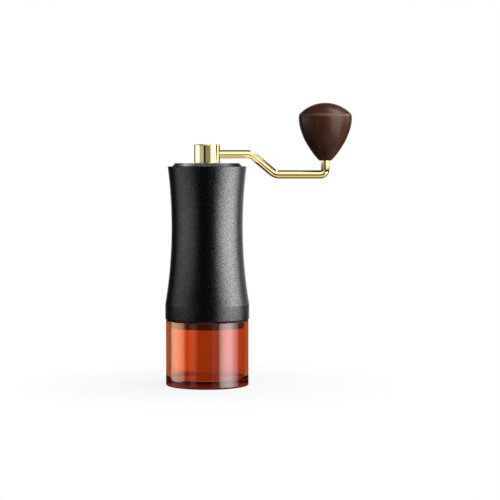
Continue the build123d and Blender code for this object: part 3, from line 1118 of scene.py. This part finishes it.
@dataclass
class Crank(Assembly):
    """Gold hub and bent bar of the crank."""

    hub_radius: float = 0.00845
    hub_height: float = 0.01205
    hub_round: float = 0.0007
    foot_round: float = 0.00025
    spigot_radius: float = 0.00492
    socket_flats: float = 0.0053
    socket_depth: float = 0.0145
    clip_rise: float = 0.0013
    clip_thickness: float = 0.0008
    clip_groove: float = 0.0006
    bar_radius: float = 0.00275
    bar_inset: float = 0.0044
    bar_step: float = 0.0131
    step_start: float = 0.0286
    step_end: float = 0.0444
    step_bend: float = 0.0070
    post_bend: float = 0.0031
    post_rise: float = 0.0105
    pin_radius: float = 0.0020
    sides: int = 48
    round_steps: int = 8
    step_steps: int = 16
    post_steps: int = 20

    def build(self) -> None:
        """Model the hub and the bar."""
        self.build_hub()
        self.build_bar()

    def build_hub(self) -> None:
        """Turn the hub with its spigot, and cut the hexagon socket of the shaft."""
        low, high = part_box("crank_hub")
        foot, top = low[2], high[2]
        base = top - self.hub_height
        clip_bottom = foot + self.clip_rise
        clip_top = clip_bottom + self.clip_thickness
        groove = self.spigot_radius - self.clip_groove
        corners = [
            Corner(0.0, top),
            Corner(self.hub_radius, top, self.hub_round),
            Corner(self.hub_radius, base, self.foot_round),
            Corner(self.spigot_radius, base),
            Corner(self.spigot_radius, clip_top),
            Corner(groove, clip_top),
            Corner(groove, clip_bottom),
            Corner(self.spigot_radius, clip_bottom),
            Corner(self.spigot_radius, foot, self.foot_round),
            Corner(0.0, foot),
        ]
        hub = Bench.turn("crank_hub_turned", outline(corners, self.round_steps))
        start, end = foot - self.foot_round, foot + self.socket_depth
        Bench.cut(hub, Bench.hexagon("hub_socket", self.socket_flats, start, end))
        self.seat(hub, "crank", "polished_gold", "crank_hub")

    def build_bar(self) -> None:
        """Draw the bar out of the hub: straight runs are extruded and bends are spun."""
        low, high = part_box("crank_arm")
        reach = high[0] - self.bar_radius
        lower = low[2] + self.bar_radius
        upper = lower + self.bar_step
        post_top = lower + self.post_rise
        slope = math.atan2(self.bar_step, self.step_end - self.step_start)
        tangent = self.step_bend * math.tan(slope / 2)
        Bench.clear()
        bpy.ops.mesh.primitive_circle_add(
            vertices=self.sides,
            radius=self.bar_radius,
            location=(self.bar_inset, 0, upper),
            rotation=(0, math.pi / 2, 0),
        )
        bar = Bench.begin("crank_bar")
        self.draw(self.step_start - tangent - self.bar_inset, 0.0)
        self.bend((self.step_start - tangent, upper - self.step_bend), slope, self.step_steps)
        self.draw(math.hypot(self.step_end - self.step_start, self.bar_step) - 2 * tangent, -slope)
        self.bend((self.step_end + tangent, lower + self.step_bend), -slope, self.step_steps)
        self.draw(reach - self.post_bend - self.step_end - tangent, 0.0)
        self.bend((reach - self.post_bend, lower + self.post_bend), -math.pi / 2, self.post_steps)
        self.draw(self.post_rise - self.post_bend, math.pi / 2)
        bpy.ops.mesh.extrude_edges_move()
        shrink = self.pin_radius / self.bar_radius
        bpy.ops.transform.resize(value=(shrink, shrink, 1), center_override=(reach, 0, post_top))
        self.draw(high[2] - post_top, math.pi / 2)
        bpy.ops.mesh.select_all(action="SELECT")
        bpy.ops.mesh.remove_doubles(threshold=MERGE)
        bpy.ops.mesh.fill_holes(sides=0)
        Bench.finish(bar)
        self.seat(bar, "crank", "polished_gold", "crank_arm")
        # The hub and the lid don't mirror the bar.
        bar.visible_glossy = False

    @staticmethod
    def draw(length: float, slope: float) -> None:
        """Extrude the open end of the bar along a slope in the upright plane of the crank."""
        step = (length * math.cos(slope), 0, length * math.sin(slope))
        bpy.ops.mesh.extrude_edges_move(TRANSFORM_OT_translate={"value": step})

    @staticmethod
    def bend(centre: Point, angle: float, steps: int) -> None:
        """Spin the open end of the bar about a bend's centre, downwards for a positive angle."""
        bpy.ops.mesh.spin(steps=steps, angle=angle, center=(centre[0], 0, centre[1]), axis=(0, -1, 0))


@dataclass
class Knob(Assembly):
    """Turned wooden knob. Its points are given as radius and rise above its foot."""

    base_radius: float = 0.0039
    flank: Point = (0.00976, 0.0072)
    belly: Point = (0.01425, 0.0151)
    widest: Point = (0.01727, 0.0275)
    shoulder: Point = (0.01695, 0.0301)
    shoulder_round: float = 0.0010
    # Rise of the painted highlight band on the shoulder
    rubbed_rise: float = 0.0295
    bore: float = 0.0033
    bore_depth: float = 0.0249
    foot_round: float = 0.0003
    foot_way: Point = (0.72, 0.69)
    crease_angle: float = math.radians(20)
    side_steps: int = 12
    turn_steps: int = 5
    dome_steps: int = 24

    def build(self) -> None:
        """Model the knob from its foot up to its dome."""
        low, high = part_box("knob")
        base = low[2]
        passed = [(self.base_radius, 0.0), self.flank, self.belly, self.widest]
        side = flowing(passed, self.foot_way, (0, 1), self.side_steps)
        turn_in = waisted(self.widest, self.shoulder, self.turn_steps)
        dome = self.dome(high[2] - base, self.dome_steps)
        # The rounded shoulder takes the place of the dome's first two points.
        corners = [
            Corner(self.bore, base + self.bore_depth),
            Corner(self.bore, base, self.foot_round),
            Corner(self.base_radius, base, self.foot_round),
            *[Corner(radius, base + rise) for radius, rise in side[1:] + turn_in[1:-1]],
            Corner(self.shoulder[0], base + self.shoulder[1], self.shoulder_round),
            *[Corner(radius, base + rise) for radius, rise in dome[2:]],
            Corner(0.0, base + self.bore_depth),
            Corner(self.bore, base + self.bore_depth),
        ]
        axis_x = (low[0] + high[0]) / 2
        knob = Bench.turn("knob_turned", outline(corners), axis_x, angle=self.crease_angle)
        self.seat(knob, "knob", "dark_wood", "knob")

    def dome(self, top: float, steps: int) -> list[Point]:
        """Give the arc of the dome from the shoulder to the middle of the top."""
        radius, height = self.shoulder
        drop = top - height
        bend = (radius**2 + drop**2) / (2 * drop)
        radii = [radius * (1 - step / steps) for step in range(steps + 1)]
        return [(reach, top - bend + math.sqrt(bend**2 - reach**2)) for reach in radii]


@dataclass
class GrindSet(Assembly):
    """Spring, screws and numbered dial of the burrs."""

    wire_radius: float = 0.0005
    wire_sides: int = 16
    spring_turns: int = 4
    screw_circle: float = 0.0204
    screw_count: int = 3
    head_radius: float = 0.0022
    head_height: float = 0.0014
    shank_radius: float = 0.0012
    key_flats: float = 0.0020
    head_round: float = 0.25
    key_depth: float = 0.75
    steps: int = 40
    number_circle: float = 0.0104
    number_size: float = 0.0026
    number_count: int = 12
    paint_depth: float = 0.00004

    def build(self) -> None:
        """Model the spring, the screws and the dial's numbers."""
        self.build_spring()
        self.build_screws()
        self.build_numbers()

    def build_spring(self) -> None:
        """Screw a round wire up to the bearing."""
        low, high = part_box("burr_spring")
        foot, head = low[2] + self.wire_radius, high[2] - self.wire_radius
        Bench.clear()
        bpy.ops.mesh.primitive_circle_add(
            vertices=self.wire_sides,
            radius=self.wire_radius,
            location=(high[0] - self.wire_radius, 0, foot),
            rotation=(math.pi / 2, 0, 0),
        )
        spring = Bench.begin("burr_spring_wire")
        Bench.screw(spring, self.spring_turns, head - foot, self.steps)
        self.shelf.dress(spring, "spring_steel")
        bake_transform(spring)
        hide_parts("burr_spring")
        log.info("%s: %d faces, from the shaft to the burr", spring.name, len(spring.data.polygons))

    def build_screws(self) -> None:
        """Model one screw with its hexagon socket, and copy it round the burr."""
        low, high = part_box("burr_screws")
        head, tip = low[2], high[2]
        neck = head + self.head_height
        edge = self.head_height * self.head_round
        key = head + self.head_height * self.key_depth
        corners = [
            Corner(0.0, head),
            Corner(self.head_radius, head, edge),
            Corner(self.head_radius, neck),
            Corner(self.shank_radius, neck),
            Corner(self.shank_radius, tip, edge),
            Corner(0.0, tip),
        ]
        screw = Bench.turn("burr_screw_heads", outline(corners), steps=self.steps)
        Bench.cut(screw, Bench.hexagon("key_socket", self.key_flats, head - edge, key))
        screws = [screw] + [Bench.copy(screw, f"burr_screw_{index}") for index in range(1, self.screw_count)]
        for index, copy in enumerate(screws):
            Bench.shift(copy, (self.screw_circle, 0, 0), FULL_TURN * index / self.screw_count)
        self.seat(Bench.join(screws, "burr_screw_heads"), "housing", "tool_steel", "burr_screws")

    def build_numbers(self) -> None:
        """Paint the numbers round the underside of the dial, to be read from below."""
        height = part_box("adjusting_dial")[0][2] - self.paint_depth / 2
        numbers = []
        for index in range(self.number_count):
            Bench.clear()
            bpy.ops.object.text_add(location=(0, 0, 0))
            text = bpy.context.object
            text.data.body = str(index)
            text.data.align_x = "CENTER"
            text.data.align_y = "CENTER"
            text.data.size = self.number_size
            text.data.extrude = self.paint_depth / 2
            bpy.ops.object.convert(target="MESH")
            text = bpy.context.object
            text.rotation_euler = (math.pi, 0, math.pi / 2)
            Bench.settle()
            Bench.shift(text, (self.number_circle, 0, height), FULL_TURN * index / self.number_count)
            numbers.append(text)
        paint = Bench.join(numbers, "dial_numbers")
        self.seat(paint, "dial", "bare_aluminium")
        paint.data.materials[0] = self.shelf.paint


# Studio


@dataclass(frozen=True)
class Softbox:
    """Soft lamp between two azimuths, 0 on the camera's side and 90 on the right, and two heights."""

    name: str
    first: float
    last: float
    bottom: float
    top: float
    strength: float
    soft: float = 0.0
    soft_up: float = 0.0
    distance: float = 0.5
    lean: float = 0.0
    only: tuple[str, ...] = ()
    spared: tuple[str, ...] = ()
    tone: Colour = WHITE

    def build(self) -> None:
        """Hang the lamp so that it faces the grinder, leaning over it by some degrees."""
        turn = math.radians((self.first + self.last) / 2)
        spread = math.radians((self.last - self.first) / 2)
        lean = math.radians(self.lean)
        way = Vector((math.sin(turn), -math.cos(turn), 0.0))
        lamp = bpy.data.lights.new(self.name, "AREA")
        lamp.shape = "RECTANGLE"
        lamp.color = self.tone
        lamp.size = 2 * self.distance * math.tan(spread)
        lamp.size_y = self.top - self.bottom
        lamp.energy = self.strength * math.pi * lamp.size * lamp.size_y
        if self.soft or self.soft_up:
            self.soften(lamp)
        obj = bpy.data.objects.new(self.name, lamp)
        obj.location = way * self.distance + Vector((0, 0, (self.bottom + self.top) / 2))
        facing = way * math.cos(lean) + Vector((0, 0, math.sin(lean)))
        obj.rotation_euler = facing.to_track_quat("Z", "Y").to_euler()
        obj.visible_camera = False
        bpy.context.scene.collection.objects.link(obj)
        if self.only or self.spared:
            obj.light_linking.receiver_collection = self.link()

    def soften(self, lamp: bpy.types.Light) -> None:
        """Dim the lamp towards its edges."""
        sheet = Sheet(lamp)
        across, up, _ = sheet.split(sheet.add("ShaderNodeNewGeometry", output="Parametric"))
        share = (across * (1.0 - across) * 4.0) ** self.soft * (up * (1.0 - up) * 4.0) ** self.soft_up
        glow = sheet.add("ShaderNodeEmission", inputs={"Color": sheet.mix(share, BLACK, WHITE)})
        sheet.add("ShaderNodeOutputLight", inputs={"Surface": glow})

    def link(self) -> bpy.types.Collection:
        """Gather the pieces that alone are lit, or that are spared."""
        pieces = bpy.data.collections.new(f"{self.name}_pieces")
        for name in self.only or self.spared:
            pieces.objects.link(bpy.data.objects[name])
        for member in pieces.collection_objects:
            member.light_linking.link_state = "INCLUDE" if self.only else "EXCLUDE"
        return pieces


LAMPS = (
    Softbox("right_foot", 30, 96, *FOOT_BAND, 5.2, 1, spared=KNOB + SLEEVE),
    Softbox("right_upper", 30, 118, 0.166, 0.225, 5.0, 1, spared=KNOB + SLEEVE),
    Softbox("right_top", 5, 130, 0.225, 0.480, 2.8, 1, spared=SLEEVE),
    Softbox("left_foot", -118, -55, *FOOT_BAND, 0.55, 1, spared=KNOB + SLEEVE),
    Softbox("left_upper", -100, -40, 0.166, 0.205, 0.40, 1, spared=KNOB + SLEEVE),
    Softbox("front_above", -35, 35, 0.280, 1.080, 1.3, distance=0.45, lean=50, spared=SLEEVE),
    Softbox("overhead", -45, 45, *TOP_SPAN, 0.5, distance=0.25, lean=90, spared=BAR),
    Softbox("sleeve_right", 14, 128, *SLEEVE_BAND, 7.0, 4.8, 1.8, only=SLEEVE),
    Softbox("sleeve_edge", 112, 168, *SLEEVE_BAND, 0.35, 1, 1.8, only=SLEEVE),
    Softbox("sleeve_left", -120, -18, -0.030, 0.200, 1.2, 2.8, 3.2, only=SLEEVE),
    Softbox("lid_left", -137, -107, 0.600, 0.900, 7.5, distance=0.42, lean=53, only=LID),
    Softbox("lid_right", 100, 130, 0.600, 0.900, 5.0, distance=0.36, lean=60),
    Softbox("hub_top", 135, 225, *TOP_SPAN, 0.5, distance=0.25, lean=90, only=HUB),
    Softbox("hub_back_right", 100, 180, *BACK_BAND, 0.45, only=HUB),
    Softbox("hub_back_left", 180, 260, *BACK_BAND, 0.45, only=HUB),
    Softbox("hub_low_right", 30, 124, *LOW_BAND, 1.3, distance=0.25, only=HUB),
    Softbox("hub_low_left", -122, -28, *LOW_BAND, 1.1, distance=0.25, only=HUB),
    Softbox("hub_low_back", 140, 222, *LOW_BAND, 0.8, distance=0.25, only=HUB),
    Softbox("hub_left", -122, -71, *HUB_BAND, 2.2, spared=SLEEVE),
    Softbox("hub_half_left", -71, -29, *HUB_BAND, 0.6, spared=SLEEVE),
    Softbox("hub_front", -12, 34, *HUB_BAND, 0.30, spared=SLEEVE),
    Softbox("hub_right", 34, 80, *HUB_BAND, 2.2, spared=SLEEVE),
    Softbox("hub_half_right", 80, 125, *HUB_BAND, 1.5, spared=SLEEVE),
    Softbox("bar_front", -30, 30, 0.166, 0.430, 0.9, only=BAR, tone=CREAM),
    Softbox("bar_below", -80, 80, -0.0265, 0.0985, 0.72, distance=0.062, lean=-55, only=BAR, tone=ORANGE),
    Softbox("bar_under", 28, 108, 0.1255, 0.1655, 0.6, distance=0.032, lean=-90, only=BAR, tone=PEACH),
    Softbox("bar_slope", -72, -12, -0.060, 0.135, 1.0, distance=0.25, lean=-20, only=BAR, tone=ORANGE),
    Softbox("bar_side", 50, 125, 0.420, 0.900, 1.0, distance=0.45, lean=45, only=BAR),
    Softbox("knob_right", 29, 85, 0.000, 0.290, 3.2, 1, distance=0.3, only=KNOB, tone=WARM),
    Softbox("knob_left", -130, -55, 0.000, 0.240, 0.8, 1, distance=0.25, only=KNOB, tone=WARM),
    Softbox("knob_edge", 20, 80, 0.400, 0.560, 4.5, 1, distance=0.3, lean=45, only=KNOB, tone=WARM),
    Softbox("jar_right", 31, 71, *JAR_BAND, 3.6, 0.5, distance=0.12, only=JAR),
    Softbox("jar_left", -110, -57, -0.0085, 0.060, 4.4, 0.5, distance=0.12, only=JAR, tone=YELLOW),
    Softbox("jar_half_left", -45, -25, *JAR_BAND, 0.55, 0.4, distance=0.12, only=JAR),
    Softbox("jar_half_right", 11, 29, *JAR_BAND, 0.36, 0.4, distance=0.12, only=JAR),
    Softbox("jar_back_right", 136, 173, 0.0, 0.060, 0.7, 1, distance=0.06, only=JAR),
    Softbox("jar_back_left", 187, 222, 0.0, 0.060, 1.2, 1, distance=0.06, only=JAR),
)


@dataclass
class Studio:
    """White table and backdrop, soft lamps and the camera."""

    camera_place: Place = (0.0279, -1.145, 0.1451)
    camera_drop: float = 2.84
    lens: float = 126.6
    sensor: float = 36.0
    table_size: float = 6.0
    table_cuts: int = 3
    table_tone: Colour = (0.8, 0.8, 0.8)
    bounce_tone: Colour = (0.25, 0.25, 0.25)
    shadow_start: float = 0.035
    shadow_end: float = 0.13
    shadow_light: float = 0.86
    # Painted shadow: the table's own glow is darkened under the jar
    contact_start: float = 0.022
    contact_end: float = 0.028
    contact_tone: Colour = (0.6, 0.6, 0.6)
    gloom: float = 0.02
    left_glow: float = 0.10
    right_glow: float = 0.34
    glow_across: Point = (-0.5, 0.5)
    glow_top: Point = (-0.60, -0.42)
    glow_bottom: Point = (-0.95, -0.82)
    behind: Point = (0.90, 0.97)
    softboxes: tuple[Softbox, ...] = LAMPS

    def build(self) -> None:
        """Set up the studio."""
        bpy.context.scene.view_settings.view_transform = "Standard"
        self.build_floor()
        self.build_world()
        for softbox in self.softboxes:
            softbox.build()
        self.build_camera()

    def build_floor(self) -> None:
        """Lay a white table that keeps a soft shadow near the grinder, with a painted shadow in its glow
        under the jar, and fades into the backdrop.
        """
        Bench.clear()
        bpy.ops.mesh.primitive_plane_add(size=self.table_size, location=(0, 0, 0))
        floor = Bench.begin("table")
        bpy.ops.mesh.subdivide(number_cuts=self.table_cuts)
        Bench.finish(floor)
        floor.visible_glossy = False
        material = bpy.data.materials.new("table_white")
        sheet = Sheet(material)
        seen = sheet.seen()
        where = sheet.add("ShaderNodeTexCoord", output="Object")
        far = sheet.add("ShaderNodeVectorMath", {"operation": "LENGTH"}, {0: where}, "Value")
        share = sheet.range(far, self.shadow_start, self.shadow_end, self.shadow_light, 1.0) * seen
        # Painted shadow: the glow seen through the jar is greyed right under it
        painted_shadow_mask = sheet.range(far, self.contact_start, self.contact_end)
        shade = sheet.mix(painted_shadow_mask, self.contact_tone, WHITE)
        white = sheet.add("ShaderNodeEmission", inputs={"Color": shade, "Strength": 1.0})
        tone = sheet.mix(seen, self.bounce_tone, self.table_tone)
        matt = sheet.add("ShaderNodeBsdfDiffuse", inputs={"Color": tone})
        sheet.output(sheet.add("ShaderNodeMixShader", inputs={0: share, 1: matt, 2: white}))
        floor.data.materials.append(material)
        log.info("table laid")

    def build_world(self) -> None:
        """Make the backdrop white where it is seen, and the rest dim but for a faint glow of the table."""
        world = bpy.data.worlds.new("studio")
        bpy.context.scene.world = world
        sheet = Sheet(world)
        right, back, up = sheet.split(sheet.add("ShaderNodeTexCoord", output="Generated"))
        behind = sheet.range(back, *self.behind)
        below = sheet.range(up, *self.glow_top, 1.0, 0.0) * sheet.range(up, *self.glow_bottom)
        table = below * sheet.range(right, *self.glow_across, self.left_glow, self.right_glow)
        seen = sheet.seen().most(sheet.ray("Glossy") * behind)
        strength = seen.most(table + self.gloom)
        glow = sheet.add("ShaderNodeBackground", inputs={"Color": WHITE, "Strength": strength})
        sheet.add("ShaderNodeOutputWorld", inputs={"Surface": glow})

    def build_camera(self) -> None:
        """Set the camera where the photograph was taken from."""
        data = bpy.data.cameras.new("camera")
        data.sensor_width = self.sensor
        data.lens = self.lens
        camera = bpy.data.objects.new("camera", data)
        camera.location = self.camera_place
        camera.rotation_euler = (math.radians(90.0 - self.camera_drop), 0, 0)
        bpy.context.scene.collection.objects.link(camera)
        bpy.context.scene.camera = camera


def main() -> None:
    """Build the studio and the sub-assemblies in order."""
    logging.basicConfig(level=logging.INFO, format="%(name)s: %(message)s")
    shelf = Shelf()
    shelf.dress_nodes()
    for assembly in (Jar(shelf), Body(shelf), Lid(shelf), Crank(shelf), Knob(shelf), GrindSet(shelf)):
        assembly.build()
    Studio().build()


if __name__ == "__main__":
    main()
